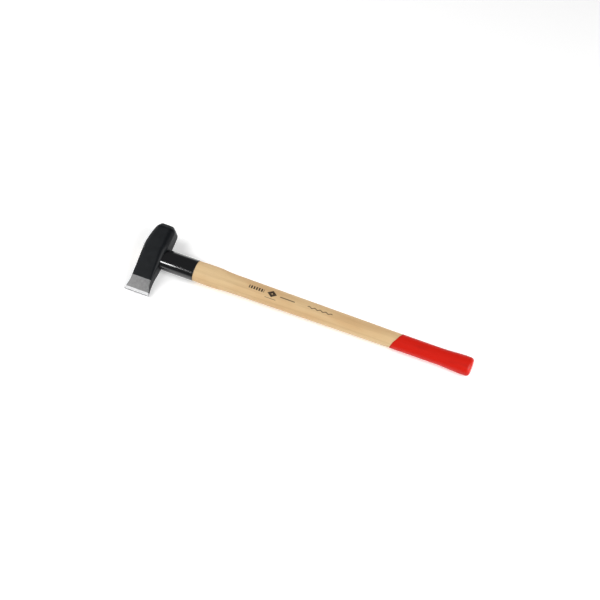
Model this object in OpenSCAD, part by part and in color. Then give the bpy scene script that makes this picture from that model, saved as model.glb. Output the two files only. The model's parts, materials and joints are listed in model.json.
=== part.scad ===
// Splitting maul: forged head, straight hickory handle with a steel sleeve under
// the head, wedged eye and a dip-coated grip. Millimetres, lying on its cheek.

/* [Head] */
// Eye axis to the cutting edge
bit_reach = 108; // [95:1:140]
// Eye axis to the striking face
poll_reach = 87; // [80:1:110]
// Thickness at the ridge, where the cheeks are widest
cheek_t = 58; // [52:0.5:72]
// Ridge behind the eye axis
ridge_back = 14; // [0:1:25]
// Height of the head along the handle, at the poll
head_h = 61.5; // [52:0.5:80]
// How much lower the head is at its waist, ahead of the sleeve
waist_drop = 6.4; // [2:0.2:9]
// Waist ahead of the eye axis
waist_reach = 58; // [45:1:64]
// How far the toe flares past the top face
toe_flare = 8.2; // [0:0.2:12]
// How far the heel flares past the waist
heel_flare = 7; // [0:0.2:12]

/* [Cutting edge] */
// Length of the ground bevel with the cutting bevel
bevel_len = 40; // [30:1:46]
// Thickness where the ground bevel starts
bevel_t = 25.9; // [18:0.1:30]
// Length of the steep cutting bevel
edge_len = 8; // [4:0.5:12]
// Thickness where the cutting bevel starts
edge_t = 8.8; // [5:0.1:11]
// Flat left on the cutting edge
edge_flat = 0.6; // [0.4:0.1:1.5]

/* [Poll] */
// Length of the bevels round the striking face
poll_bevel = 12; // [6:1:20]
// Thickness where those bevels start
poll_t = 51.4; // [44:0.2:58]
// Thickness of the striking face
face_t = 32; // [24:0.5:42]
// Height of the striking face
face_h = 36; // [24:0.5:44]
// Top of the striking face below the top of the head
face_top = 14; // [8:0.5:20]
// How far the poll has come down where its bevels start
poll_drop = 9.5; // [0:0.5:14]
// Height of the bevel along the cheek's lower edge
low_bevel_h = 10; // [4:0.5:12]
// Depth of that bevel into the cheek
low_bevel_t = 6; // [3:0.5:8]
// Bevel along the cheek's upper edge
top_bevel = 2.5; // [1:0.5:5]
// Bevel along the poll's upper edge, where its bevels start
poll_top_bevel = 4; // [2:0.5:8]
// Bevel on the corners of the striking face
face_bevel = 5; // [2:0.5:8]

/* [Eye and wedges] */
// Length of the eye, along the head
eye_l = 50; // [44:1:52]
// Width of the eye
eye_w = 30; // [24:1:32]
// Depth of the kerf in the tongue
kerf_depth = 50; // [30:1:54]
// Width of the kerf at its mouth
kerf_mouth = 7; // [4:0.5:9]
// Width of the kerf at its root
kerf_root = 1.6; // [1:0.1:3]
// Outer diameter of the ring wedge
ring_d = 21; // [14:0.5:24]
// Wall of the ring wedge at its top
ring_wall = 2.6; // [1.5:0.1:4]
// Length of the ring wedge
ring_len = 24; // [12:1:30]
// Gap between pieces that fit into one another
fit_gap = 0.05; // [0:0.01:0.2]

/* [Sleeve] */
// Width of the sleeve, along the head
sleeve_w = 57.6; // [48:0.2:64]
// Thickness of the sleeve, across the head
sleeve_t = 39.6; // [34:0.2:46]
// Wall of the sleeve
sleeve_wall = 1.5; // [1:0.1:2.5]
// Top of the head to the sleeve's lower end
sleeve_end = 151; // [110:1:190]

/* [Handle] */
// Top of the head to the end of the grip
total_len = 900; // [750:5:1100]
// Thickness of the handle as a share of its width
oval = 0.69; // [0.6:0.01:0.8]
// How far the wood stands in from the sleeve where it leaves it
collar_step = 0.9; // [0:0.1:2]
// Width of the shoulder below the sleeve
shoulder_w = 57; // [50:0.5:64]
// Length of the shoulder
shoulder_len = 52; // [30:1:80]
// Length over which the shoulder runs out
runout_len = 50; // [30:1:80]
// Width of the throat below the shoulder
throat_w = 50.6; // [44:0.2:56]
// Width of the grip
grip_w = 42.6; // [36:0.2:48]
// Length of the even grip above its flare
grip_len = 72; // [60:1:150]
// Width of the knob at the grip's end
knob_w = 48.4; // [44:0.2:58]
// Length over which the grip flares to the knob
flare_len = 66; // [40:1:90]
// Length of the knob from the flare to the end
knob_len = 18; // [14:1:40]
// Radius round the knob's end
knob_round = 9; // [4:0.5:12]

/* [Grip coat] */
// Thickness of the lacquer coat
coat_t = 0.5; // [0.3:0.1:1.5]
// Length of the coat along the handle's axis
coat_len = 197; // [120:1:260]
// Slant of the coat's edge across the width
coat_slant = 26.5; // [0:0.5:35]

/* [Hidden] */
$fn = 180;
over = 1;            // what a cut runs past a face
steps = 8;           // rings along a smooth stretch of the handle
head_steps = 4;      // sections along a curved stretch of the head
bevel_left = 0.3;    // share of the cheek's bevels left where the ground bevel starts
edge_left = 0.004;   // the same at the cutting edge, where the corners still stay apart

// Starts of the ground bevel and of the cutting bevel, ahead of the eye axis
bevel_start = bit_reach - bevel_len;
edge_start = bit_reach - edge_len;

// Heights along the handle, from the top of the head, and its width at the sleeve's end
seat_z = low_z(sleeve_w / 2) - fit_gap;
collar_w = sleeve_w - 2 * collar_step;
shoulder_end = sleeve_end + shoulder_len;
throat_z = shoulder_end + runout_len;
knob_z = total_len - knob_len;
flare_z = knob_z - flare_len;
grip_z = flare_z - grip_len;

function unit(v) = v / norm(v);
function blend(t) = t * t * (3 - 2 * t);
function between(a, b, t) = a + (b - a) * t;

// ---- head: eight-sided sections from the striking face to the cutting edge

// Height of the head's lower side at a place along the head
function low_z(x) = let (back = -ridge_back - sleeve_w / 2)
    x < back ? head_h
    : x < waist_reach ? between(head_h, head_h - waist_drop, (x - back) / (waist_reach - back))
    : head_h - waist_drop + heel_flare * pow((x - waist_reach) / (bit_reach - waist_reach), 2);

// Height of its upper side ahead of the ridge
function top_z(x) = x < bevel_start ? 0 : -toe_flare * pow((x - bevel_start) / bevel_len, 2);

// Half of its thickness ahead of the ridge
function half_t(x) =
    x < bevel_start ? between(cheek_t, bevel_t, (x + ridge_back) / (bevel_start + ridge_back)) / 2
    : x < edge_start ? between(bevel_t, edge_t, (x - bevel_start) / (edge_start - bevel_start)) / 2
    : between(edge_t, edge_flat, (x - edge_start) / edge_len) / 2;

// Eight corners: [x, half thickness, top, low, top bevel, low bevel in y and in z]
function section(x, h, top, low, tb, ly, lz) = [
    [x, tb - h, top], [x, h - tb, top], [x, h, top + tb], [x, h, low - lz],
    [x, h - ly, low], [x, ly - h, low], [x, -h, low - lz], [x, -h, top + tb]];

// From the poll's bevels to the ridge, with the top rising along a parabola
function poll_section(t) =
    section(between(poll_bevel - poll_reach, -ridge_back, t), between(poll_t, cheek_t, t) / 2,
        poll_drop * pow(1 - t, 2), head_h, between(poll_top_bevel, top_bevel, t),
        low_bevel_t, low_bevel_h);

// The bevels die away between the ridge and the cutting edge
function wedge_section(x) = let (
        k = x < bevel_start ? between(1, bevel_left, (x + ridge_back) / (bevel_start + ridge_back))
            : between(bevel_left, edge_left, (x - bevel_start) / bevel_len))
    section(x, half_t(x), top_z(x), low_z(x), top_bevel * k, low_bevel_t * k, low_bevel_h * k);

head_stations = concat(
    [-ridge_back, waist_reach],
    [for (i = [0:head_steps]) between(bevel_start, edge_start, i / head_steps)],
    [bit_reach]);
head_sections = concat(
    [section(-poll_reach, face_t / 2, face_top, face_top + face_h,
         face_bevel, face_bevel, face_bevel)],
    [for (i = [0:head_steps - 1]) poll_section(i / head_steps)],
    [for (x = head_stations) wedge_section(x)]);

// A closed solid through sections that have the same number of corners
module loft(sections) {
    n = len(sections[0]);
    last = len(sections) - 1;
    polyhedron(
        points = [for (s = sections) each s],
        faces = concat(
            [[for (i = [n - 1:-1:0]) i]],
            [for (k = [0:last - 1], i = [0:n - 1])
                [k * n + i, k * n + (i + 1) % n, (k + 1) * n + (i + 1) % n, (k + 1) * n + i]],
            [[for (i = [0:n - 1]) last * n + i]]),
        convexity = 4);
}

module ellipse(w, t) {
    scale([w / 2, t / 2])
        circle(r = 1);
}

// The eye's outline: two half rounds and a straight stretch
module eye_outline(gap = 0) {
    r = eye_w / 2 - gap;
    side = (eye_l - eye_w) / 2;
    for (x = [-side, side])
        translate([x, 0])
            circle(r = r);
    square([2 * side, 2 * r], center = true);
}

// The sleeve's bore, less a gap all round
module sleeve_bore(gap = 0) {
    ellipse(sleeve_w - 2 * sleeve_wall - 2 * gap, sleeve_t - 2 * sleeve_wall - 2 * gap);
}

// Handle outline: points [half width, height] from the shoulder to the grip's end
function handle_profile(grow = 0) = let (
        r = knob_round,
        end = total_len - coat_t + grow)
    concat(
        [for (i = [0:steps]) let (t = i / steps)
            [between(shoulder_w, throat_w, blend(t)) / 2 + grow,
             between(shoulder_end, throat_z, t)]],
        [[grip_w / 2 + grow, grip_z]],
        [for (i = [0:steps]) let (t = i / steps)
            [between(grip_w, knob_w, blend(t)) / 2 + grow, between(flare_z, knob_z, t)]],
        [for (i = [0:steps]) let (a = 90 * i / steps)
            [knob_w / 2 + grow - r * (1 - cos(a)), end - r * (1 - sin(a))]]);

// A solid of the handle's oval section round an outline
module oval_solid(outline) {
    scale([1, oval, 1])
        rotate_extrude()
            polygon(outline);
}

// The handle below the sleeve, without its coat
module bare_wood() {
    oval_solid(concat([[0, sleeve_end], [collar_w / 2, sleeve_end]],
        handle_profile(), [[0, total_len - coat_t]]));
}

// The kerf and the wooden wedge are one tapered slot
module kerf(gap = 0) {
    rotate([90, 0, 90])
        linear_extrude(eye_l + 2 * over, center = true)
            polygon([
                [-kerf_mouth / 2 - gap, -over], [kerf_mouth / 2 + gap, -over],
                [kerf_mouth / 2 + gap, 0], [kerf_root / 2 + gap, kerf_depth],
                [-kerf_root / 2 - gap, kerf_depth], [-kerf_mouth / 2 - gap, 0]]);
}

// The ring wedge narrows from its top to its lower edge
module ring(gap = 0, past = 0) {
    r = ring_d / 2;
    thin = ring_wall / 4;
    rotate_extrude()
        polygon([
            [r - ring_wall - gap, -past], [r + gap, -past], [r + gap, 0],
            [r - thin + gap, ring_len + gap], [r - ring_wall + thin - gap, ring_len + gap],
            [r - ring_wall - gap, 0]]);
}

// ---- pose: the maul lies on one cheek's lower edge and on the knob

ridge_foot = [-ridge_back, cheek_t / 2, low_z(-ridge_back) - low_bevel_h];
bevel_foot = [bevel_start, bevel_t / 2, low_z(bevel_start) - low_bevel_h * bevel_left];
knob_a = knob_w / 2 + coat_t;
knob_b = knob_a * oval;
function knob_foot(n) = let (k = norm([knob_a * n.x, knob_b * n.y]))
    [knob_a * knob_a * n.x / k, knob_b * knob_b * n.y / k, knob_z];
function floor_normal(foot) = unit(cross(foot - ridge_foot, bevel_foot - ridge_foot));
down = floor_normal(knob_foot(floor_normal(knob_foot([0, 1, 0]))));
along = unit([0, 0, 1] - down * down.z);
side = cross(-down, along);
function turned(p) = [along * p, side * p, -down * p];
toe = turned([bit_reach, 0, -toe_flare]);
grip_end = turned([0, 0, total_len]);
poll_corner = turned([-poll_reach, face_t / 2, face_top]);
middle = [(toe.x + grip_end.x) / 2, (toe.y + poll_corner.y) / 2, turned(ridge_foot).z];

module lying() {
    multmatrix([concat(along, -middle.x), concat(side, -middle.y), concat(-down, -middle.z)])
        children();
}

// ---- pieces

module maul_head() {
    color("#33363b") lying() difference() {
        loft(head_sections);
        translate([0, 0, -over])
            linear_extrude(head_h + 2 * over)
                eye_outline();
        // Seat for the sleeve, square to the handle
        translate([0, 0, seat_z])
            linear_extrude(head_h)
                ellipse(sleeve_w + 2 * fit_gap, sleeve_t + 2 * fit_gap);
    }
}

module handle() {
    color("#d8b889") lying() difference() {
        union() {
            linear_extrude(seat_z)
                eye_outline(fit_gap);
            // What the tongue and the part in the sleeve share joins them at the seat
            translate([0, 0, seat_z - over])
                linear_extrude(2 * over)
                    intersection() {
                        eye_outline(fit_gap);
                        sleeve_bore(fit_gap);
                    }
            translate([0, 0, seat_z])
                linear_extrude(sleeve_end - seat_z + over)
                    sleeve_bore(fit_gap);
            bare_wood();
        }
        kerf();
        ring(fit_gap, over);
    }
}

module protective_sleeve() {
    color("#1b1c1e") lying() translate([0, 0, seat_z])
        linear_extrude(sleeve_end - seat_z - fit_gap)
            difference() {
                ellipse(sleeve_w, sleeve_t);
                sleeve_bore();
            }
}

module wood_wedge() {
    color("#b08a5a") lying() difference() {
        intersection() {
            kerf(-fit_gap);
            linear_extrude(kerf_depth - fit_gap)
                eye_outline(fit_gap);
        }
        ring(fit_gap, over);
    }
}

module ring_wedge() {
    color("#8d9094") lying() ring();
}

module grip_coat() {
    color("#d42511") lying() difference() {
        oval_solid(concat([[0, grip_z - coat_len], [grip_w / 2, grip_z - coat_len]],
            handle_profile(coat_t), [[0, total_len]]));
        bare_wood();
        translate([0, 0, total_len - coat_len])
            rotate([0, coat_slant, 0])
                translate([0, 0, -total_len / 2])
                    cube([2 * total_len, 2 * knob_w, total_len], center = true);
    }
}

maul_head();
handle();
protective_sleeve();
wood_wedge();
ring_wedge();
grip_coat();
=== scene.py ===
"""A splitting maul, lying on one cheek and on the knob of its grip.

Every piece is a surface worked out with numpy in the maul's own axes, then turned into the lying
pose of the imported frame: x runs towards the bit, y across the cheeks (the upper cheek has y below
zero), z along the handle from the head's top to the end of the grip. Lengths are in metres.
"""
import json

import bmesh
import bpy
import numpy as np
from bpy.props import FloatProperty, FloatVectorProperty, PointerProperty
from mathutils import Matrix, Vector


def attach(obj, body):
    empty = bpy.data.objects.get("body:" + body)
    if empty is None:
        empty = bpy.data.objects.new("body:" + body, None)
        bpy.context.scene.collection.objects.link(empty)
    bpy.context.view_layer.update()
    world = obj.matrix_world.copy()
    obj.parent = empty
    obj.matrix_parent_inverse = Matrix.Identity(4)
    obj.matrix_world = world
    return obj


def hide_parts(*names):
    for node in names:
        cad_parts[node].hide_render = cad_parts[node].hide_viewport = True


bl_info = {
    "name": "Splitting maul",
    "version": (1, 0, 0),
    "blender": (4, 5, 0),
    "location": "3D Viewport > Sidebar > Maul",
    "description": "Builds a splitting maul: coated head, steel sleeve, dipped hickory handle",
    "category": "Add Mesh",
}

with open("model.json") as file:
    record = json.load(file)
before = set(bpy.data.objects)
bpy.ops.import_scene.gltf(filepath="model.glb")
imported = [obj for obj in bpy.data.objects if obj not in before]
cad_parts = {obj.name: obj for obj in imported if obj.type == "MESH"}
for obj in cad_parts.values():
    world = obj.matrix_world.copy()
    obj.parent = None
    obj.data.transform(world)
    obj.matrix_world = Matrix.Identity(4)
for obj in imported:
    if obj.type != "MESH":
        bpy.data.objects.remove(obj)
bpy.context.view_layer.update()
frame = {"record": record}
MOUNTS = {mount["name"]: mount for mount in frame["record"]["mounts"]}
FULL_TURN = 2 * np.pi
FIT = 0.00005  # gap between pieces that fit together
SIDES = 160  # points round the eye, the handle and the lacquer
POLE = 0.01  # the last ring of a closed end, as a share of the ring before it
SHARP = np.radians(32)  # edges that bend more than this are shaded as edges
WELD_GAP = 2e-6  # points closer than this become one
TINY = 1e-9  # keeps a quotient finite


# ---- sizes and colours


def length(name, value, note):
    """A length property in metres."""
    return FloatProperty(name=name, default=value, min=0, unit="LENGTH", precision=4,
                         description=note)


def number(name, value, note):
    """A property without a unit."""
    return FloatProperty(name=name, default=value, description=note)


def colour(name, value, note):
    """A linear colour property."""
    return FloatVectorProperty(name=name, default=value, size=3, min=0, max=1, subtype="COLOR",
                               description=note)


class HeadSizes(bpy.types.PropertyGroup):
    """Sizes and colours of the forged head."""

    bit_reach: length("Bit reach", 0.108, "Eye axis to the cutting edge")
    poll_reach: length("Poll reach", 0.087, "Eye axis to the striking face")
    cheek_t: length("Cheek thickness", 0.058, "Thickness at the ridge")
    ridge_back: length("Ridge", 0.014, "Ridge behind the eye axis")
    height: length("Height", 0.0615, "Height along the handle at the poll")
    waist_drop: length("Waist drop", 0.0064, "How much lower the waist is than the poll")
    waist_reach: length("Waist reach", 0.058, "Waist ahead of the eye axis")
    toe_flare: length("Toe flare", 0.0082, "Toe past the top face")
    heel_flare: length("Heel flare", 0.0070, "Heel past the waist")
    bevel_len: length("Bevel length", 0.040, "Ground bevel with the cutting bevel")
    bevel_t: length("Bevel thickness", 0.0259, "Thickness where the ground bevel starts")
    edge_len: length("Cutting bevel length", 0.008, "Length of the steep cutting bevel")
    edge_t: length("Cutting bevel thickness", 0.0088, "Thickness where the cutting bevel starts")
    edge_flat: length("Edge flat", 0.0006, "Thickness of the cutting edge")
    poll_bevel: length("Poll bevel", 0.012, "Length of the bevels round the striking face")
    poll_t: length("Poll thickness", 0.0514, "Thickness where those bevels start")
    face_t: length("Face thickness", 0.032, "Thickness of the striking face")
    face_h: length("Face height", 0.036, "Height of the striking face")
    face_top: length("Face top", 0.014, "Top of the striking face below the head's top")
    poll_drop: length("Poll drop", 0.0095, "How far the poll comes down towards its bevels")
    low_bevel_h: length("Low bevel height", 0.010, "Bevel along the cheek's lower edge")
    low_bevel_t: length("Low bevel depth", 0.006, "Depth of that bevel")
    top_bevel: length("Top bevel", 0.0025, "Bevel along the cheek's upper edge")
    poll_top_bevel: length("Poll top bevel", 0.004, "Bevel along the poll's upper edge")
    face_bevel: length("Face bevel", 0.005, "Bevel on the corners of the striking face")
    eye_l: length("Eye length", 0.050, "Eye, along the head")
    eye_w: length("Eye width", 0.030, "Eye, across the head")
    coat: colour("Coat", (0.0030, 0.0042, 0.0056), "Blue-black coat")
    # the worn coat, also used as a painted highlight along the head's proud edges
    worn_and_highlit_coat: colour("Worn coat", (0.030, 0.034, 0.039), "Coat rubbed thin along the edges")
    steel: colour("Ground steel", (0.165, 0.165, 0.165), "Bare steel of the bevels")


class SleeveSizes(bpy.types.PropertyGroup):
    """Sizes and colour of the steel sleeve below the head."""

    width: length("Width", 0.0576, "Width along the head")
    thickness: length("Thickness", 0.0396, "Thickness across the head")
    wall: length("Wall", 0.0015, "Wall of the tube")
    end: length("Lower end", 0.151, "Top of the head to the sleeve's lower end")
    enamel: colour("Enamel", (0.006, 0.006, 0.007), "Gloss black enamel")


class HandleSizes(bpy.types.PropertyGroup):
    """Sizes and colours of the hickory handle and its wedges."""

    total: length("Length", 0.900, "Top of the head to the end of the grip")
    oval: number("Oval", 0.69, "Thickness as a share of the width")
    collar_w: length("Collar width", 0.0558, "Width where the handle leaves the sleeve")
    shoulder_w: length("Shoulder width", 0.057, "Width below the sleeve")
    shoulder_len: length("Shoulder length", 0.052, "Length of the shoulder")
    runout: length("Run-out", 0.050, "Length over which the shoulder runs out")
    throat_w: length("Throat width", 0.0506, "Width below the shoulder")
    grip_w: length("Grip width", 0.0426, "Width of the grip")
    grip_len: length("Grip length", 0.072, "Length of the even grip")
    knob_w: length("Knob width", 0.0484, "Width of the knob")
    flare_len: length("Flare length", 0.066, "Length over which the grip flares")
    knob_len: length("Knob length", 0.018, "Length of the knob")
    knob_round: length("Knob round", 0.009, "Radius round the knob's end")
    kerf_depth: length("Kerf depth", 0.050, "Depth of the wedge's kerf")
    kerf_mouth: length("Kerf mouth", 0.007, "Width of the kerf at the top")
    kerf_root: length("Kerf root", 0.0016, "Width of the kerf at its root")
    ring_d: length("Ring diameter", 0.021, "Outer diameter of the ring wedge")
    ring_wall: length("Ring wall", 0.0026, "Wall of the ring wedge")
    ring_len: length("Ring length", 0.024, "Length of the ring wedge")
    pale: colour("Pale wood", (0.720, 0.515, 0.278), "Lightest wood")
    warm: colour("Warm wood", (0.660, 0.430, 0.215), "Pinkish bands in the wood")
    grain: colour("Grain", (0.430, 0.260, 0.120), "Dark pores and growth lines")
    ink: colour("Ink", (0.022, 0.013, 0.008), "Ink of the printed stamp")


class CoatSizes(bpy.types.PropertyGroup):
    """Sizes and colours of the lacquer on the grip."""

    thickness: length("Thickness", 0.0005, "Thickness of the lacquer")
    length: length("Length", 0.197, "Length along the handle's axis")
    slant: FloatProperty(name="Slant", default=np.radians(26.5), subtype="ANGLE",
                         description="Slant of the coat's edge across the width")
    red: colour("Red", (0.610, 0.011, 0.004), "Red lacquer")
    deep: colour("Deep red", (0.360, 0.006, 0.003), "Where the lacquer has run thick")


class StageSizes(bpy.types.PropertyGroup):
    """Camera and floor."""

    azimuth: FloatProperty(name="Azimuth", default=np.radians(28.93), subtype="ANGLE",
                           description="Camera's turn from looking along +Y")
    elevation: FloatProperty(name="Elevation", default=np.radians(59.80), subtype="ANGLE",
                             description="Camera's height above the floor")
    roll: FloatProperty(name="Roll", default=np.radians(-6.47), subtype="ANGLE",
                        description="Camera's turn about its line of sight")
    distance: length("Distance", 3.5087, "Camera to the point it looks at")
    lens: number("Lens", 83.2, "Focal length in millimetres, for a 36 mm sensor")
    aim: FloatVectorProperty(name="Aim", default=(-0.0112, 0.0264, 0.025), subtype="TRANSLATION",
                             description="Point that the camera looks at")
    floor: colour("Floor", (0.97, 0.97, 0.97), "Colour of the floor")


def sizes(scene):
    """The scene's sizes of the head, the sleeve, the handle and the lacquer."""
    return scene.maul_head, scene.maul_sleeve, scene.maul_hand, scene.maul_coat


# ---- the maul's own axes in the frame


def maul_axes(head):
    """The frame's place and directions of the maul's axes: x opposes the striking face's normal,
    z opposes the top face's normal, and y is square to both. The eye axis meets the top face at
    the origin, one poll reach ahead of the striking face."""
    poll, top = MOUNTS["poll_face"], MOUNTS["head_top"]
    z = -np.array(top["axis"])
    z /= np.linalg.norm(z)
    x = -np.array(poll["axis"])
    x -= z * (x @ z)
    x /= np.linalg.norm(x)
    y = np.cross(z, x)
    origin = np.array(poll["pos_m"]) + head.poll_reach * x
    origin += z * ((np.array(top["pos_m"]) - origin) @ z)
    return origin, np.stack([x, y, z])


def turned(points, head):
    """Points in the maul's axes, turned into the frame."""
    origin, axes = maul_axes(head)
    return origin + points @ axes


def own_places(mesh, head):
    """The mesh's vertices, back in the maul's axes."""
    origin, axes = maul_axes(head)
    co = np.empty(len(mesh.vertices) * 3, np.float32)
    mesh.vertices.foreach_get("co", co)
    return (co.reshape(-1, 3) - origin) @ axes.T


# ---- surfaces on a grid


def smooth(t):
    """Eases from 0 to 1: three t squared less two t cubed."""
    t = np.clip(t, 0, 1)
    return t * t * (3 - 2 * t)


def rounded(path, radius, turns, between, closed=False):
    """Rounds the corners of a path that runs along the first axis of an array.

    A corner becomes a parabola of some turns, from a point one radius before it to a point one
    radius after it (but never much of either side), and each straight between two corners gets
    some points between, the outer ones close to the corners."""
    most = 0.45
    radius = np.broadcast_to(np.asarray(radius, float), path.shape[:-1])[..., None]
    before, after = np.roll(path, 1, 0), np.roll(path, -1, 0)
    reach = lambda q: (q - path) * np.minimum(
        radius / np.maximum(np.linalg.norm(q - path, axis=-1, keepdims=True), TINY), most)
    a, b = path + reach(before), path + reach(after)
    t = np.linspace(0, 1, turns + 1).reshape(1, -1, *([1] * (path.ndim - 1)))
    corner = (1 - t) ** 2 * a[:, None] + 2 * t * (1 - t) * path[:, None] + t * t * b[:, None]
    s = np.linspace(0, 1, between + 2)[1:-1]
    s = 0.5 - 0.5 * np.cos(np.pi * s)
    s = s.reshape(1, -1, *([1] * (path.ndim - 1)))
    straight = b[:, None] * (1 - s) + np.roll(a, -1, 0)[:, None] * s
    rows = np.concatenate([corner, straight], axis=1)
    if closed:
        return rows.reshape(-1, *path.shape[1:])
    first, last = path[:1], path[-1:]
    start = first[:, None] * (1 - s) + a[1:2][:, None] * s
    inner = rows[1:-1].reshape(-1, *path.shape[1:])
    inner = inner[: len(inner) - s.shape[1]]
    end = b[-2:-1][:, None] * (1 - s) + last[:, None] * s
    return np.concatenate([first, start[0], inner, end[0], last])


def grid_faces(rows, columns, loop=False):
    """Quads between neighbouring rows of a grid whose columns close on themselves."""
    r = np.arange(rows if loop else rows - 1)[:, None]
    c = np.arange(columns)[None]
    up, right = (r + 1) % rows, (c + 1) % columns
    quads = [r * columns + c, r * columns + right, up * columns + right, up * columns + c]
    return np.stack(np.broadcast_arrays(*quads), axis=-1).reshape(-1, 4)


def signed_volume(points, quads):
    """Sum of the tetrahedra from the origin to every face, positive where faces look outwards."""
    p = points[quads]
    first = np.einsum("ij,ij->i", p[:, 0], np.cross(p[:, 1], p[:, 2])).sum()
    second = np.einsum("ij,ij->i", p[:, 0], np.cross(p[:, 2], p[:, 3])).sum()
    return (first + second) / 6


def make_piece(name, grid, head, loop=False):
    """A piece from a grid in the maul's axes, whose columns close on themselves. Its rows close on
    themselves too, as round a tube's wall, or shrink to a thin edge or a small ring at the ends."""
    rows, columns = grid.shape[:2]
    quads = grid_faces(rows, columns, loop)
    points = grid.reshape(-1, 3)
    if signed_volume(points - points.mean(0), quads) < 0:
        quads = quads[:, ::-1]
    mesh = bpy.data.meshes.new(name)
    mesh.from_pydata(turned(points, head).tolist(), [], quads.tolist())
    piece = bpy.data.objects.new(name, mesh)
    bpy.context.scene.collection.objects.link(piece)
    weld(piece)
    mesh.shade_smooth()
    mesh.set_sharp_from_angle(angle=SHARP)
    return piece


def weld(piece):
    """Merges doubled points, which closes thin edges, and drops the empty faces."""
    work = bmesh.new()
    work.from_mesh(piece.data)
    bmesh.ops.remove_doubles(work, verts=work.verts, dist=WELD_GAP)
    bmesh.ops.dissolve_degenerate(work, dist=WELD_GAP / 2, edges=work.edges)
    work.to_mesh(piece.data)
    work.free()


def close_poles(piece):
    """Fills the small ring left at each pole with a flat face."""
    work = bmesh.new()
    work.from_mesh(piece.data)
    bmesh.ops.holes_fill(work, edges=[edge for edge in work.edges if edge.is_boundary])
    work.to_mesh(piece.data)
    work.free()


def carve(piece, *cutters):
    """Cuts pockets out of a piece with closed cutters, which are then removed."""
    for cutter in cutters:
        cut = piece.modifiers.new("pocket", "BOOLEAN")
        cut.operation = "DIFFERENCE"
        cut.solver = "EXACT"
        cut.object = cutter
    bpy.context.view_layer.update()
    graph = bpy.context.evaluated_depsgraph_get()
    carved = bpy.data.meshes.new_from_object(piece.evaluated_get(graph))
    piece.modifiers.clear()
    piece.data = carved
    for cutter in cutters:
        bpy.data.objects.remove(cutter)
    carved.shade_smooth()
    carved.set_sharp_from_angle(angle=SHARP)


def note_places(piece, head):
    """Stores each vertex's place in the maul's axes, and how proud it stands: the mean direction
    to its neighbours, against its normal."""
    mesh = piece.data
    places = own_places(mesh, head)
    attribute = mesh.attributes.new("maul", "FLOAT_VECTOR", "POINT")
    attribute.data.foreach_set("vector", places.astype(np.float32).ravel())
    ends = np.empty(len(mesh.edges) * 2, np.int32)
    mesh.edges.foreach_get("vertices", ends)
    ends = ends.reshape(-1, 2)
    total, count = np.zeros_like(places), np.zeros(len(places))
    for a, b in (ends.T, ends.T[::-1]):
        step = places[b] - places[a]
        np.add.at(total, a, step / np.maximum(np.linalg.norm(step, axis=1), TINY)[:, None])
        np.add.at(count, a, 1)
    normals = np.empty(len(mesh.vertices) * 3, np.float32)
    mesh.vertices.foreach_get("normal", normals)
    out = normals.reshape(-1, 3) @ maul_axes(head)[1].T
    proud = -np.einsum("ij,ij->i", total / np.maximum(count, 1)[:, None], out)
    attribute = mesh.attributes.new("proud", "FLOAT", "POINT")
    attribute.data.foreach_set("value", np.clip(proud, 0, 1).astype(np.float32))


def finish_piece(piece, head, material, slot, *nodes):
    """Closes a piece, gives it its pattern places, material and body, and hides the frame's
    pieces that it stands for. The slot is not used."""
    close_poles(piece)
    note_places(piece, head)
    piece.data.materials.clear()
    piece.data.materials.append(material)
    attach(piece, "root")
    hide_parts(*nodes)


def oval_ring(width, thickness, sides=SIDES):
    """Points of an ellipse: half the width along x times cosine, half the thickness times sine."""
    turn = np.linspace(0, FULL_TURN, sides, endpoint=False)
    return np.stack(np.broadcast_arrays(
        np.asarray(width)[..., None] / 2 * np.cos(turn),
        np.asarray(thickness)[..., None] / 2 * np.sin(turn)), axis=-1)


def eye_ring(span, width):
    """Points of a slot with round ends, where rays at equal angles from its middle meet it."""
    turn = np.linspace(0, FULL_TURN, SIDES, endpoint=False)
    c, s = np.cos(turn), np.sin(turn)
    r, side = width / 2, (span - width) / 2
    to_flat = r / np.maximum(np.abs(s), TINY)
    to_round = side * np.abs(c) + np.sqrt(np.maximum(r * r - (side * s) ** 2, 0))
    reach = np.where(to_flat * np.abs(c) <= side, to_flat, to_round)
    return np.stack([reach * c, reach * s], axis=-1)


def stacked(rings, heights):
    """Rings of (x, y) at their heights, as one grid."""
    heights = np.broadcast_to(np.asarray(heights, float)[:, None, None], (*rings.shape[:2], 1))
    return np.concatenate([rings, heights], axis=-1)


# ---- node wiring


class Wire:
    """An output of a node. Arithmetic on it adds Math nodes to its material."""

    def __init__(self, paint, socket):
        self.paint = paint
        self.socket = socket

    def math(self, operation, *values):
        inputs = dict(enumerate(values))
        return self.paint.add("ShaderNodeMath", {"operation": operation}, inputs)[0]

    def __add__(self, other):
        return self.math("ADD", self, other)

    def __sub__(self, other):
        return self.math("SUBTRACT", self, other)

    def __mul__(self, other):
        return self.math("MULTIPLY", self, other)

    def __pow__(self, other):
        return self.math("POWER", self, other)

    def __radd__(self, other):
        return self.math("ADD", other, self)

    def __rsub__(self, other):
        return self.math("SUBTRACT", other, self)

    def __abs__(self):
        return self.math("ABSOLUTE", self)

    def most(self, other):
        return self.math("MAXIMUM", self, other)

    def wave(self):
        return self.math("SINE", self)

    def step(self, low, high, a=0.0, b=1.0):
        """Eases from a to b while the value goes from low to high."""
        settings = {"interpolation_type": "SMOOTHSTEP"}
        inputs = {"Value": self, "From Min": low, "From Max": high, "To Min": a, "To Max": b}
        return self.paint.add("ShaderNodeMapRange", settings, inputs)["Result"]


class Node:
    """A node that has been added; its outputs are read by number or name."""

    def __init__(self, paint, node):
        self.paint = paint
        self.node = node

    def __getitem__(self, key):
        return Wire(self.paint, self.node.outputs[key])


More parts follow.
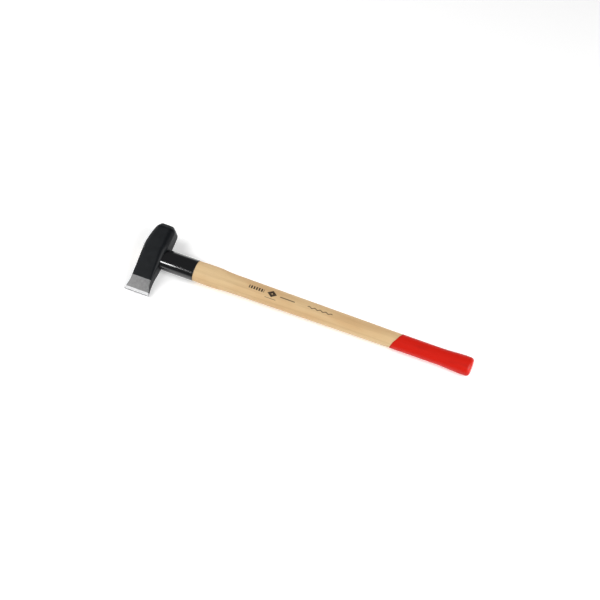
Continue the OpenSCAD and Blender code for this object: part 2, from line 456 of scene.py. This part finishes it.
class Paint:
    """A material and the wiring of its nodes."""

    def __init__(self, name, owner=None):
        self.material = owner or bpy.data.materials.new(name)
        self.material.use_nodes = True
        self.tree = self.material.node_tree
        self.tree.nodes.clear()

    def add(self, kind, settings=None, inputs=None):
        """Adds a node of a type, makes its settings, then fills or links its sockets."""
        node = self.tree.nodes.new(kind)
        for key, value in (settings or {}).items():
            setattr(node, key, value)
        for key, value in (inputs or {}).items():
            if isinstance(value, Wire):
                self.tree.links.new(value.socket, node.inputs[key])
            else:
                node.inputs[key].default_value = value
        return Node(self, node)

    def places(self):
        """The maul's own axes at the shaded point, as a vector and as x, y and z."""
        vector = self.add("ShaderNodeAttribute", {"attribute_name": "maul"})["Vector"]
        parts = self.add("ShaderNodeSeparateXYZ", {}, {0: vector})
        return vector, parts[0], parts[1], parts[2]

    def proud(self):
        """How proud the edges stand at the shaded point, from 0 to 1."""
        return self.add("ShaderNodeAttribute", {"attribute_name": "proud"})["Fac"]

    def facing(self, direction):
        """The cosine between the surface's normal and a direction."""
        normal = self.add("ShaderNodeNewGeometry")["Normal"]
        settings = {"operation": "DOT_PRODUCT"}
        return self.add("ShaderNodeVectorMath", settings, {0: normal, 1: direction})["Value"]

    def noise(self, vector, cells, detail=3.0, rough=0.5):
        """Noise with as many cells to the metre as given."""
        inputs = {"Vector": vector, "Scale": cells, "Detail": detail, "Roughness": rough}
        return self.add("ShaderNodeTexNoise", {}, inputs)["Fac"]

    def streaks(self, axes, cells, detail, rough=0.5):
        """Noise with its own number of cells to the metre along each axis."""
        parts = {place: axis * count for place, (axis, count) in enumerate(zip(axes, cells))}
        drawn = self.add("ShaderNodeCombineXYZ", {}, parts)[0]
        return self.noise(drawn, 1.0, detail, rough)

    def mix(self, part, a, b):
        """A colour between a and b; colours given as numbers get full opacity."""
        full = lambda c: c if isinstance(c, Wire) else (*c, 1)
        inputs = {0: part, 6: full(a), 7: full(b)}
        return self.add("ShaderNodeMix", {"data_type": "RGBA"}, inputs)[2]

    def bump(self, height, distance, strength):
        inputs = {"Height": height, "Distance": distance, "Strength": strength}
        return self.add("ShaderNodeBump", {}, inputs)["Normal"]

    def surface(self, **inputs):
        """The material's one shader. Underscores in the names stand for spaces."""
        named = {key.replace("_", " "): value for key, value in inputs.items()}
        shader = self.add("ShaderNodeBsdfPrincipled", {}, named)
        self.add("ShaderNodeOutputMaterial", {}, {0: shader["BSDF"]})
        return self.material


# ---- materials


# cells of noise to the metre; where a pattern is drawn out, along x, y and z, and for the turning
# marks, away from the ring's axis and along it
FORGED, FLECKS, BLOTCHES, RAGGED_LINE = 55.0, 700.0, 130.0, 90.0
ORANGE_PEEL, CHIPS, SPOTS = 260.0, 300.0, 400.0
GRINDING, HAIRLINES, TURNING = (60.0, 900.0, 900.0), (1500.0, 1500.0, 25.0), (2500.0, 900.0)
FIBRES, PORES, PATCHES = (330.0, 330.0, 7.0), (1900.0, 1900.0, 42.0), (28.0, 28.0, 6.0)
BAND_DRIFT, BAND_WANDER, RUNS = (9.0, 9.0, 2.2), (60.0, 60.0, 5.0), (60.0, 60.0, 14.0)


def head_paint(head):
    """Satin blue-black coat with a fine forged texture, lighter along its edges for rubbed coat
    and a painted highlight; bare ground steel on the bevels of both cheeks, with a painted
    reflection on the cutting bevel and a painted shadow just behind the cutting edge."""
    paint = Paint("head coating")
    vector, *axes = paint.places()
    x = axes[0]
    across = tuple(maul_axes(head)[1][1])
    on_cheek = abs(paint.facing(across)).step(0.80, 0.88)
    bevel_start = head.bit_reach - head.bevel_len
    edge_start = head.bit_reach - head.edge_len
    ragged = (paint.noise(vector, RAGGED_LINE) - 0.5) * 0.0014
    ground = (x + ragged).step(bevel_start - 0.0002, bevel_start + 0.0003) * on_cheek
    cutting = x.step(edge_start - 0.0001, edge_start + 0.0001) * on_cheek

    flecks = paint.noise(vector, FLECKS, 2.0)
    forged = paint.noise(vector, FORGED, 4.0)
    # lighter along proud edges: partly rubbed coat, partly a painted highlight
    rubbed_and_highlit = (paint.proud() * 2.2 + (forged - 0.5) * 0.9).step(0.30, 0.95) * 0.75
    coat = paint.mix(rubbed_and_highlit, head.coat, head.worn_and_highlit_coat)
    coat = paint.mix((forged - 0.35) * 0.35, coat, head.worn_and_highlit_coat)

    strokes = paint.streaks(axes, GRINDING, 3.0, 0.6)
    blotch = paint.noise(vector, BLOTCHES, 4.0, 0.65)
    tone = (strokes - 0.5) * 0.35 + (blotch - 0.5) * 1.3 + 0.5
    dark_steel, pale_steel = ([gain * c for c in head.steel] for gain in (0.62, 1.45))
    steel = paint.mix(tone, dark_steel, pale_steel)
    # painted reflection: the honed cutting bevel gets a near-white base colour in place of the
    # light that polished steel reflects
    dim_painted_reflection, bright_painted_reflection = (0.74, 0.74, 0.75), (0.93, 0.93, 0.94)
    honed_painted_reflection = paint.mix(strokes.step(0.30, 0.70), dim_painted_reflection, bright_painted_reflection)
    bare = paint.mix(cutting, steel, honed_painted_reflection)
    # painted shadow: a dark band just behind the cutting edge, where the sharp edge casts shade
    edge_shadow = x.step(head.bit_reach - 0.0017, head.bit_reach - 0.0010) * 0.85
    painted_edge_shadow = (0.10, 0.10, 0.11)
    bare = paint.mix(edge_shadow, bare, painted_edge_shadow)

    grit = paint.bump(flecks * 0.6 + forged * 1.4, 0.00035, 0.55)
    lines = paint.bump(strokes, 0.00008, 0.5)
    both = paint.add("ShaderNodeMix", {"data_type": "VECTOR"}, {0: ground, 4: grit, 5: lines})[1]
    coat_rough = 0.42 + (flecks - 0.5) * 0.16
    bare_rough = 0.40 + (blotch - 0.5) * 0.2 - cutting * 0.14
    return paint.surface(
        Base_Color=paint.mix(ground, coat, bare),
        # the cutting bevel is made less metallic, so that its pale colour shows as a painted
        # reflection
        Metallic=ground * 0.75 - cutting * 0.6,
        Roughness=coat_rough * (1.0 - ground) + bare_rough * ground,
        Specular_IOR_Level=0.18,
        Normal=both)


def enamel_paint(sleeve):
    """Gloss black enamel with a faint orange peel and fine scratches along the tube."""
    paint = Paint("sleeve enamel")
    vector, *axes = paint.places()
    peel = paint.noise(vector, ORANGE_PEEL, 2.0)
    scratches = paint.streaks(axes, HAIRLINES, 2.0).step(0.66, 0.74)
    chipped = (paint.proud() * 1.6 + (paint.noise(vector, CHIPS) - 0.5)).step(0.55, 0.95)
    bared = (0.10, 0.10, 0.11)
    return paint.surface(
        Base_Color=paint.mix(chipped * 0.35, sleeve.enamel, bared),
        Roughness=0.14 + scratches * 0.12 + (peel - 0.5) * 0.06,
        Specular_IOR_Level=0.5,
        Coat_Weight=1.0,
        Coat_Roughness=0.05,
        Normal=paint.bump(peel + scratches * 0.4, 0.00006, 0.35))


def stamp_mask(x, z):
    """A generic stamp in ink on the upper side: bars, a lozenge, two rules and a wavy line. Each
    mark has a middle and a half length along the handle, then the same across it, and an
    inking."""
    soft, bar_pitch, wave_rate, wave_height = 0.0003, 0.0070, 420.0, 0.0014
    line = x + 0.004

    def within(value, middle, half):
        return abs(value - middle).step(half + soft, half - soft)

    def block(value, along, half_along, across, half_across, inking=1.0):
        patch = within(z, along, half_along) * within(value, across, half_across)
        return patch * inking

    gaps = (z * (FULL_TURN / bar_pitch)).wave().step(-0.55, -0.25)
    bars = block(line, 0.3230, 0.0210, 0.0, 0.0042) * gaps
    spread = abs(z - 0.3660) * 0.72 + abs(line) * 1.03
    lozenge = spread.step(0.0098, 0.0092) - spread.step(0.0020, 0.0015)
    low_rule = block(line, 0.3650, 0.0150, 0.0128, 0.0008, 0.7)
    long_rule = block(line, 0.4086, 0.0200, 0.0010, 0.0014, 0.8)
    wavy = line + (z * wave_rate).wave() * wave_height
    flourish = block(wavy, 0.4970, 0.0335, 0.0, 0.0013, 0.85)
    return bars.most(lozenge).most(low_rule).most(long_rule).most(flourish)


def wood_paint(name, hand, tones, stamped=False):
    """Straight-grained wood: growth bands and pores drawn out along the handle, so that end grain
    shows where the surface is square to it, and a slight satin. The tones are pale, warm and
    grain."""
    paint = Paint(name)
    axes = paint.places()[1:]
    x, y, z = axes
    pale, warm, grain = tones
    slope, band_rate = 0.25, 620.0
    drift = (paint.streaks(axes, BAND_DRIFT, 2.0) - 0.5) * 0.012
    wander = (paint.streaks(axes, BAND_WANDER, 3.0) - 0.5) * 5.0
    bands = ((x * slope + y + drift) * band_rate + wander).wave()
    fibres = paint.streaks(axes, FIBRES, 4.0, 0.6)
    pores = paint.streaks(axes, PORES, 2.0).step(0.60, 0.72)
    patches = paint.streaks(axes, PATCHES, 2.0)
    base = paint.mix(patches.step(0.36, 0.66), pale, warm)
    dark = bands.step(0.2, 1.0) * 0.16 + (fibres - 0.5).step(0.02, 0.25) * 0.20
    base = paint.mix(dark, base, grain)
    base = paint.mix(pores * 0.30, base, grain)
    if stamped:
        up = paint.facing((0.0, 0.0, 1.0)).step(0.2, 0.3)
        taken = 0.97 - pores * 0.2 + (fibres - 0.5) * 0.2
        base = paint.mix(stamp_mask(x, z) * up * taken, base, hand.ink)
    height = fibres * 0.6 - pores * 0.8 + bands * 0.12
    return paint.surface(
        Base_Color=base,
        Roughness=0.46 + pores * 0.2 + (fibres - 0.5) * 0.15,
        Specular_IOR_Level=0.35,
        Normal=paint.bump(height, 0.00012, 0.45))


def lacquer_paint(coat, hand):
    """Thick glossy lacquer over wood: the grain shows faintly, and the colour deepens where the
    dip has run thick at the edge and round the end."""
    paint = Paint("grip lacquer")
    axes = paint.places()[1:]
    x, z = axes[0], axes[2]
    grain = paint.streaks(axes, FIBRES, 3.0)
    runs = paint.streaks(axes, RUNS, 3.0)
    lip = z + x * float(np.tan(coat.slant)) - (hand.total - coat.length)
    thick = lip.step(0.0040, 0.0) * 0.6 + runs.step(0.50, 0.75) * 0.35 + paint.proud() * 0.6
    return paint.surface(
        Base_Color=paint.mix(thick, coat.red, coat.deep),
        Roughness=0.40 + (runs - 0.5) * 0.12,
        Specular_IOR_Level=0.22,
        Coat_Weight=0.12,
        Coat_Roughness=0.25,
        Normal=paint.bump(grain * 0.5 + runs * 1.2, 0.00022, 0.4))


def ring_paint():
    """Bare steel with turning marks round the ring and a few dull spots."""
    paint = Paint("wedge steel")
    vector, x, y, z = paint.places()
    radius = (x * x + y * y) ** 0.5
    turns = paint.streaks((radius, z), TURNING, 2.0)
    spots = paint.noise(vector, SPOTS)
    clean, dull = (0.42, 0.42, 0.43), (0.24, 0.22, 0.21)
    return paint.surface(
        Base_Color=paint.mix(spots.step(0.45, 0.75), clean, dull),
        Metallic=1.0,
        Roughness=0.36 + (spots - 0.5) * 0.3,
        Normal=paint.bump(turns, 0.00005, 0.4))


# ---- head


def low_edge(head, sleeve, x):
    """Height of the head's lower side: level at the poll, straight down to the waist, then a
    parabola out to the heel."""
    back = -head.ridge_back - sleeve.width / 2
    slope = np.clip((x - back) / (head.waist_reach - back), 0, 1)
    flare = np.clip((x - head.waist_reach) / (head.bit_reach - head.waist_reach), 0, 1)
    return head.height - head.waist_drop * slope + head.heel_flare * flare ** 2


def seat_height(head, sleeve):
    """The sleeve's upper end, where the head's lower side is lowest under it."""
    return float(low_edge(head, sleeve, np.array(sleeve.width / 2))) - FIT


def half_thickness(head, x):
    """Half the head's thickness ahead of the ridge, straight between its four stations."""
    places = [-head.ridge_back, head.bit_reach - head.bevel_len, head.bit_reach - head.edge_len,
              head.bit_reach]
    return np.interp(x, places, [head.cheek_t / 2, head.bevel_t / 2, head.edge_t / 2,
                                 head.edge_flat / 2])


def eight_corners(x, h, top, low, top_bevel, low_t, low_h):
    """The eight corners of each section, as an array of sections by corners by coordinates."""
    y = [top_bevel - h, h - top_bevel, h, h, h - low_t, low_t - h, -h, -h]
    z = [top, top, top + top_bevel, low - low_h, low, low, low - low_h, top + top_bevel]
    columns = [np.broadcast_to(x, np.shape(h))[..., None].repeat(8, -1),
               np.stack(y, -1), np.stack(z, -1)]
    return np.stack(columns, -1)


def head_grid(head, sleeve):
    """Sections from the middle of the striking face to the cutting edge, rounded along the head
    and then round each section. The bevels along the wedge shrink straight to a share at the
    ground bevel, and from there to next to nothing at the cutting edge."""
    bevel_left, edge_left, blunt = 0.3, 0.004, 0.0001
    start = head.bit_reach - head.bevel_len
    edge = head.bit_reach - head.edge_len
    curve = np.linspace(head.waist_reach, start, 4)[:-1]
    flare = np.linspace(start, edge, 9)
    hone = np.linspace(edge, head.bit_reach - blunt, 5)[1:]
    x = np.concatenate([[-head.ridge_back], curve, flare, hone])
    fade = np.where(
        x < start,
        1 - (1 - bevel_left) * (x + head.ridge_back) / (start + head.ridge_back),
        bevel_left * (head.bit_reach - x) / head.bevel_len + edge_left)
    top = -head.toe_flare * (np.clip(x - start, 0, None) / head.bevel_len) ** 2
    wedge = eight_corners(x, half_thickness(head, x), top, low_edge(head, sleeve, x),
                          head.top_bevel * fade, head.low_bevel_t * fade, head.low_bevel_h * fade)

    t = np.linspace(0, 1, 6)[:-1]
    level = np.ones_like(t)
    between = lambda a, b: a + (b - a) * t
    poll = eight_corners(between(head.poll_bevel - head.poll_reach, -head.ridge_back),
                         between(head.poll_t, head.cheek_t) / 2, head.poll_drop * (1 - t) ** 2,
                         level * head.height, between(head.poll_top_bevel, head.top_bevel),
                         level * head.low_bevel_t, level * head.low_bevel_h)

    one = np.ones(1)
    corner = one * head.face_bevel
    rim = eight_corners(one * -head.poll_reach, one * head.face_t / 2, one * head.face_top,
                        one * (head.face_top + head.face_h), corner, corner, corner)
    middle = np.array([-head.poll_reach, 0, head.face_top + head.face_h / 2])
    inward = np.array([0.02, 0.5, 0.93])
    face = middle + (rim - middle) * inward[:, None, None]
    tip = wedge[-1:] * [1, 0, 1] + [blunt, 0, 0]
    stations = np.concatenate([face, rim, poll, wedge, tip])

    rim_bend, poll_bend, long_bend, ridge_bend = 0.0035, 0.006, 0.010, 0.014
    ground_bend, flare_bend, cutting_bend, hone_bend = 0.0005, 0.002, 0.0007, 0.001
    bends = np.concatenate([
        np.zeros(len(face)), [rim_bend, poll_bend], np.full(len(poll) - 1, long_bend),
        [ridge_bend], np.full(len(curve), long_bend),
        [ground_bend], np.full(len(flare) - 2, flare_bend),
        [cutting_bend], np.full(len(hone), hone_bend), np.zeros(len(tip))])
    rows = rounded(stations, bends[:, None], turns=5, between=3)
    places = [-head.poll_reach, head.poll_bevel - head.poll_reach, -head.ridge_back, start, edge,
              head.bit_reach]
    soft = np.interp(rows[:, 0, 0], places, [0.003, 0.006, 0.006, 0.0018, 0.0006, 0.0001])
    ring = rounded(np.moveaxis(rows, 1, 0), soft[None], turns=6, between=7, closed=True)
    return np.moveaxis(ring, 1, 0)


def head_cutter(head, sleeve, seat):
    """The eye with its eased mouth, then the wider seat for the sleeve, from above the head to
    below it."""
    ease, past, shallow = 0.0008, 0.004, 0.00002
    eye = lambda grow: eye_ring(head.eye_l + 2 * grow, head.eye_w + 2 * grow)
    pocket = oval_ring(sleeve.width + 2 * FIT, sleeve.thickness + 2 * FIT)
    rings = [eye(0) * POLE, eye(ease + past), eye(ease), eye(0), eye(0), pocket, pocket,
             pocket * POLE]
    far = head.height + past
    return stacked(np.stack(rings), [-past, -past, -shallow, ease, seat, seat, far, far])


class MAUL_OT_head(bpy.types.Operator):
    """Forge the head, with its eye and the sleeve's seat"""

    bl_idname = "maul.head"
    bl_label = "Head"

    def execute(self, context):
        head, sleeve, _, _ = sizes(context.scene)
        piece = make_piece("forged_head", head_grid(head, sleeve), head)
        seat = seat_height(head, sleeve)
        carve(piece, make_piece("eye cutter", head_cutter(head, sleeve, seat), head))
        finish_piece(piece, head, head_paint(head), "head_coating", "maul_head")
        return {"FINISHED"}


# ---- sleeve


class MAUL_OT_sleeve(bpy.types.Operator):
    """Draw the steel sleeve below the head"""

    bl_idname = "maul.sleeve"
    bl_label = "Sleeve"

    def execute(self, context):
        """The wall's own outline, with round lips, is carried round the oval."""
        head, sleeve, _, _ = sizes(context.scene)
        low, high, wall = seat_height(head, sleeve), sleeve.end - FIT, sleeve.wall
        lip, sides = 0.42, 192
        outline = np.array([[0, low], [0, high], [wall, high], [wall, low]])
        outline = rounded(outline, wall * lip, turns=6, between=24, closed=True)
        depth, height = outline.T
        ring = oval_ring(sleeve.width - 2 * depth, sleeve.thickness - 2 * depth, sides)
        piece = make_piece("steel_sleeve", stacked(ring, height), head, loop=True)
        finish_piece(piece, head, enamel_paint(sleeve), "sleeve_coating", "protective_sleeve")
        return {"FINISHED"}


# ---- handle


def handle_width(hand, sleeve, z):
    """Full width of the handle below the sleeve: it swells a little along the shoulder, eases down
    to the throat, tapers straight to the grip, stays even along it, then eases up to the knob."""
    shoulder = sleeve.end + hand.shoulder_len
    throat = shoulder + hand.runout
    knob = hand.total - hand.knob_len
    flare = knob - hand.flare_len
    grip = flare - hand.grip_len
    width = np.interp(z, [sleeve.end, shoulder], [hand.collar_w, hand.shoulder_w])
    width += (hand.throat_w - hand.shoulder_w) * smooth((z - shoulder) / hand.runout)
    width += (hand.grip_w - hand.throat_w) * np.clip((z - throat) / (grip - throat), 0, 1)
    return width + (hand.knob_w - hand.grip_w) * smooth((z - flare) / hand.flare_len)


def round_end(hand, width, end):
    """Half widths and heights of the quarter round at the knob's end, and of its flat."""
    turn = np.linspace(0, np.pi / 2, 14)[1:]
    r = hand.knob_round
    half = width / 2 - r * (1 - np.cos(turn))
    height = end - r * (1 - np.sin(turn))
    flat = half[-1] * np.array([0.8, 0.4, POLE])
    return np.concatenate([half, flat]), np.concatenate([height, np.full(len(flat), end)])


def handle_grid(head, sleeve, hand, coat, seat):
    """The tongue in the eye with its eased end, the part inside the sleeve, the rounded lip of
    the collar, then ovals down to the knob."""
    gap, sunk, ease, lip = 0.00008, 0.0003, 0.0006, 0.0012
    eye = lambda trim: eye_ring(head.eye_l - 2 * trim, head.eye_w - 2 * trim)
    inside = oval_ring(sleeve.width - 2 * (sleeve.wall + gap),
                       sleeve.thickness - 2 * (sleeve.wall + gap))
    low = seat + gap
    rings = [eye(0) * POLE, eye(gap + ease) * 0.5, eye(gap + ease), eye(gap), eye(gap), eye(gap),
             inside, inside]
    heights = [sunk, sunk, sunk, sunk + ease, low * 0.5, low, low, sleeve.end]
    first = handle_width(hand, sleeve, sleeve.end)
    # how far the collar's rounded lip is drawn in, and how far down from the sleeve
    for trim, height in ((lip, 0.0001), (lip * 0.45, lip * 0.2), (lip * 0.12, lip * 0.55)):
        rings.append(oval_ring(first - 2 * trim, (first - 2 * trim) * hand.oval))
        heights.append(sleeve.end + height)
    end = hand.total - coat.thickness
    z = np.linspace(sleeve.end + lip, end - hand.knob_round, 260)
    width = handle_width(hand, sleeve, z)
    last, last_z = round_end(hand, width[-1], end)
    width = np.concatenate([width, 2 * last])
    z = np.concatenate([z, last_z])
    tongue = stacked(np.stack(rings), heights)
    return np.concatenate([tongue, stacked(oval_ring(width, width * hand.oval), z)])


def kerf_grid(head, hand, gap, past):
    """The slot for the wooden wedge: the eye's outline, cut to a width that shrinks downwards."""
    depth = hand.kerf_depth + gap
    heights = np.array([-past, -past, 0.0, *np.linspace(0, depth, 12)[1:], depth])
    taper = hand.kerf_mouth + (hand.kerf_root - hand.kerf_mouth) * np.clip(heights / depth, 0, 1)
    half = taper[:, None] / 2 + gap
    ring = eye_ring(head.eye_l + 2 * gap, head.eye_w + 2 * gap)
    rings = np.broadcast_to(ring, (len(heights), *ring.shape)).copy()
    rings[..., 1] = np.clip(rings[..., 1], -half, half)
    rings[[0, -1]] *= POLE
    return stacked(rings, heights)


def ring_grid(hand, gap, past):
    """The ring wedge's tapered wall, carried round a circle."""
    r, wall, low = hand.ring_d / 2, hand.ring_wall, hand.ring_len + gap
    thin, ease, sides = wall / 4, 0.0003, 96
    outline = np.array([[r - wall - gap, -past], [r + gap, -past],
                        [r - thin + gap, low], [r - wall + thin - gap, low]])
    radius, height = rounded(outline, ease, turns=3, between=10, closed=True).T
    return stacked(oval_ring(2 * radius, 2 * radius, sides), height)


class MAUL_OT_handle(bpy.types.Operator):
    """Shape the handle and the wooden wedge in its kerf"""

    bl_idname = "maul.handle"
    bl_label = "Handle and wedge"

    def execute(self, context):
        head, sleeve, hand, coat = sizes(context.scene)
        seat = seat_height(head, sleeve)
        past, kerf_gap, sunk, darker = 0.003, 0.0002, 0.0001, 0.62
        groove = lambda: make_piece("ring cutter", ring_grid(hand, FIT, past), head, loop=True)
        tones = (hand.pale, hand.warm, hand.grain)
        kerf = make_piece("kerf cutter", kerf_grid(head, hand, kerf_gap, past), head)
        handle = make_piece("hickory_handle", handle_grid(head, sleeve, hand, coat, seat), head)
        carve(handle, kerf, groove())
        wood = wood_paint("hickory", hand, tones, stamped=True)
        finish_piece(handle, head, wood, "handle_wood", "handle")
        wedge = make_piece("wooden_wedge", kerf_grid(head, hand, -FIT, -sunk), head)
        carve(wedge, groove())
        wood = wood_paint("wedge wood", hand, [[darker * c for c in tone] for tone in tones])
        finish_piece(wedge, head, wood, "wedge_wood", "wood_wedge")
        return {"FINISHED"}


class MAUL_OT_ring(bpy.types.Operator):
    """Turn the steel ring wedge"""

    bl_idname = "maul.ring"
    bl_label = "Ring wedge"

    def execute(self, context):
        head, _, hand, _ = sizes(context.scene)
        piece = make_piece("steel_ring_wedge", ring_grid(hand, 0.0, 0.0), head, loop=True)
        finish_piece(piece, head, ring_paint(), "wedge_steel", "ring_wedge")
        return {"FINISHED"}


# ---- grip coat


def coat_grid(hand, sleeve, coat):
    """A skin of lacquer: from inside the end, up the wood to the slanted edge, over a round bead,
    then down the outside and round the end. The edge's height changes with x by the slant, and
    wavers a little round the handle."""
    rows, clear = 90, 0.00003
    turn = np.linspace(0, FULL_TURN, SIDES, endpoint=False)
    edge = hand.total - coat.length
    down = np.linspace(0, 1, rows)[:, None]
    start = edge - np.tan(coat.slant) * hand.grip_w / 2 * np.cos(turn)[None]
    slow_waver, quick_waver = 0.0004, 0.0003
    start = start + slow_waver * np.sin(3 * turn + 1.0) + quick_waver * np.sin(7 * turn)

    def wall(grow, last):
        """One side of the skin, grown outwards by a thickness, down to its last height."""
        z = start + (last - hand.knob_round - start) * down
        width = handle_width(hand, sleeve, z) + 2 * grow
        tip, tip_z = round_end(hand, float(width[-1, 0]), last)
        half = np.concatenate([width / 2, np.broadcast_to(tip[:, None], (len(tip), SIDES))])
        z = np.concatenate([z, np.broadcast_to(tip_z[:, None], (len(tip_z), SIDES))])
        return np.stack([half * np.cos(turn), half * hand.oval * np.sin(turn), z], axis=-1)

    inner = wall(clear, hand.total - coat.thickness + clear)[::-1]
    outer = wall(coat.thickness, hand.total)
    bow = np.linspace(0, np.pi, 7)[1:-1, None, None]
    middle, half = (inner[-1] + outer[0]) / 2, (outer[0] - inner[-1]) / 2
    bead = middle - half * np.cos(bow) - np.array([0, 0, coat.thickness / 2]) * np.sin(bow)
    return np.concatenate([inner, bead, outer])


class MAUL_OT_coat(bpy.types.Operator):
    """Dip the grip in lacquer"""

    bl_idname = "maul.coat"
    bl_label = "Grip coat"

    def execute(self, context):
        head, sleeve, hand, coat = sizes(context.scene)
        piece = make_piece("lacquered_grip", coat_grid(hand, sleeve, coat), head)
        finish_piece(piece, head, lacquer_paint(coat, hand), "grip_lacquer", "grip_coat")
        return {"FINISHED"}


# ---- stage


FLOOR_REACH = 1.5  # half the floor's side
FLOOR_GLOW = 0.26  # light of the floor's own, which keeps it white to its edges
HORIZON_LIGHT, ZENITH_LIGHT = 1.3, 0.12
# name, place, point that it faces, width, height and watts
SOFTBOXES = (
    ("right box", (2.0, -0.5, 1.6), (0.0, 0.0, 0.0), 1.8, 1.8, 62.0),
    ("left box", (-2.3, 0.35, 1.6), (0.0, 0.0, 0.0), 1.6, 1.6, 46.0),
    ("strip", (-1.09, -0.86, 1.2), (-1.09, 0.0, 0.0), 0.52, 0.20, 6.0),
)


def softbox(name, place, aim, width, height, watts):
    """A rectangular light at a place, facing a point, with its width level."""
    light = bpy.data.lights.new(name, "AREA")
    light.shape = "RECTANGLE"
    light.size, light.size_y = width, height
    light.energy = watts
    lamp = bpy.data.objects.new(name, light)
    lamp.visible_camera = False
    lamp.location = place
    lamp.rotation_euler = (Vector(aim) - Vector(place)).to_track_quat("-Z", "Y").to_euler()
    bpy.context.scene.collection.objects.link(lamp)


class MAUL_OT_stage(bpy.types.Operator):
    """Set the camera, the floor and soft studio light"""

    bl_idname = "maul.stage"
    bl_label = "Stage"

    def execute(self, context):
        scene = context.scene
        stage = scene.maul_stage
        camera_data = bpy.data.cameras.new("camera")
        camera_data.sensor_width = 36
        camera_data.lens = stage.lens
        camera_data.clip_end = 50
        camera = bpy.data.objects.new("camera", camera_data)
        turn = (Matrix.Rotation(stage.azimuth, 4, "Z")
                @ Matrix.Rotation(np.pi / 2 - stage.elevation, 4, "X")
                @ Matrix.Rotation(stage.roll, 4, "Z"))
        away = turn @ Vector((0, 0, stage.distance))
        camera.matrix_world = Matrix.Translation(Vector(stage.aim) + away) @ turn
        scene.collection.objects.link(camera)
        scene.camera = camera

        corners = np.array([(-1, -1, 0), (1, -1, 0), (1, 1, 0), (-1, 1, 0)]) * FLOOR_REACH
        mesh = bpy.data.meshes.new("floor")
        mesh.from_pydata(corners.tolist(), [], [(0, 1, 2, 3)])
        floor = bpy.data.objects.new("floor", mesh)
        scene.collection.objects.link(floor)
        paint = Paint("floor")
        mesh.materials.append(paint.surface(
            Base_Color=(*stage.floor, 1), Roughness=0.9, Specular_IOR_Level=0.1,
            Emission_Color=(1, 1, 1, 1), Emission_Strength=FLOOR_GLOW))

        for box in SOFTBOXES:
            softbox(*box)
        world = bpy.data.worlds.new("studio")
        scene.world = world
        sky = Paint("studio", world)
        ray = sky.add("ShaderNodeTexCoord")["Generated"]
        height = sky.add("ShaderNodeSeparateXYZ", {}, {0: ray})[2]
        light = height.step(0.04, 0.30, HORIZON_LIGHT, ZENITH_LIGHT)
        glow = sky.add("ShaderNodeBackground", {}, {1: light})[0]
        sky.add("ShaderNodeOutputWorld", {}, {0: glow})
        scene.view_settings.view_transform = "Standard"
        return {"FINISHED"}


# ---- panel and registration


class MAUL_PT_panel(bpy.types.Panel):
    """Lists the maul's pieces and their sizes"""

    bl_idname = "MAUL_PT_panel"
    bl_label = "Splitting maul"
    bl_space_type = "VIEW_3D"
    bl_region_type = "UI"
    bl_category = "Maul"

    def draw(self, context):
        for operator in OPERATORS:
            self.layout.operator(operator.bl_idname)
        for name, group in GROUPS.items():
            settings = getattr(context.scene, name)
            for key in group.__annotations__:
                self.layout.prop(settings, key)


GROUPS = {"maul_head": HeadSizes, "maul_sleeve": SleeveSizes, "maul_hand": HandleSizes,
          "maul_coat": CoatSizes, "maul_stage": StageSizes}
OPERATORS = (MAUL_OT_stage, MAUL_OT_head, MAUL_OT_sleeve, MAUL_OT_handle, MAUL_OT_ring,
             MAUL_OT_coat)


def register():
    for group in (*GROUPS.values(), *OPERATORS, MAUL_PT_panel):
        bpy.utils.register_class(group)
    for name, group in GROUPS.items():
        setattr(bpy.types.Scene, name, PointerProperty(type=group))


def unregister():
    for name in GROUPS:
        delattr(bpy.types.Scene, name)
    for group in reversed((*GROUPS.values(), *OPERATORS, MAUL_PT_panel)):
        bpy.utils.unregister_class(group)


def main():
    """Builds the stage and every piece."""
    register()
    for operator in OPERATORS:
        family, name = operator.bl_idname.split(".")
        getattr(getattr(bpy.ops, family), name)()


if __name__ == "__main__":
    main()
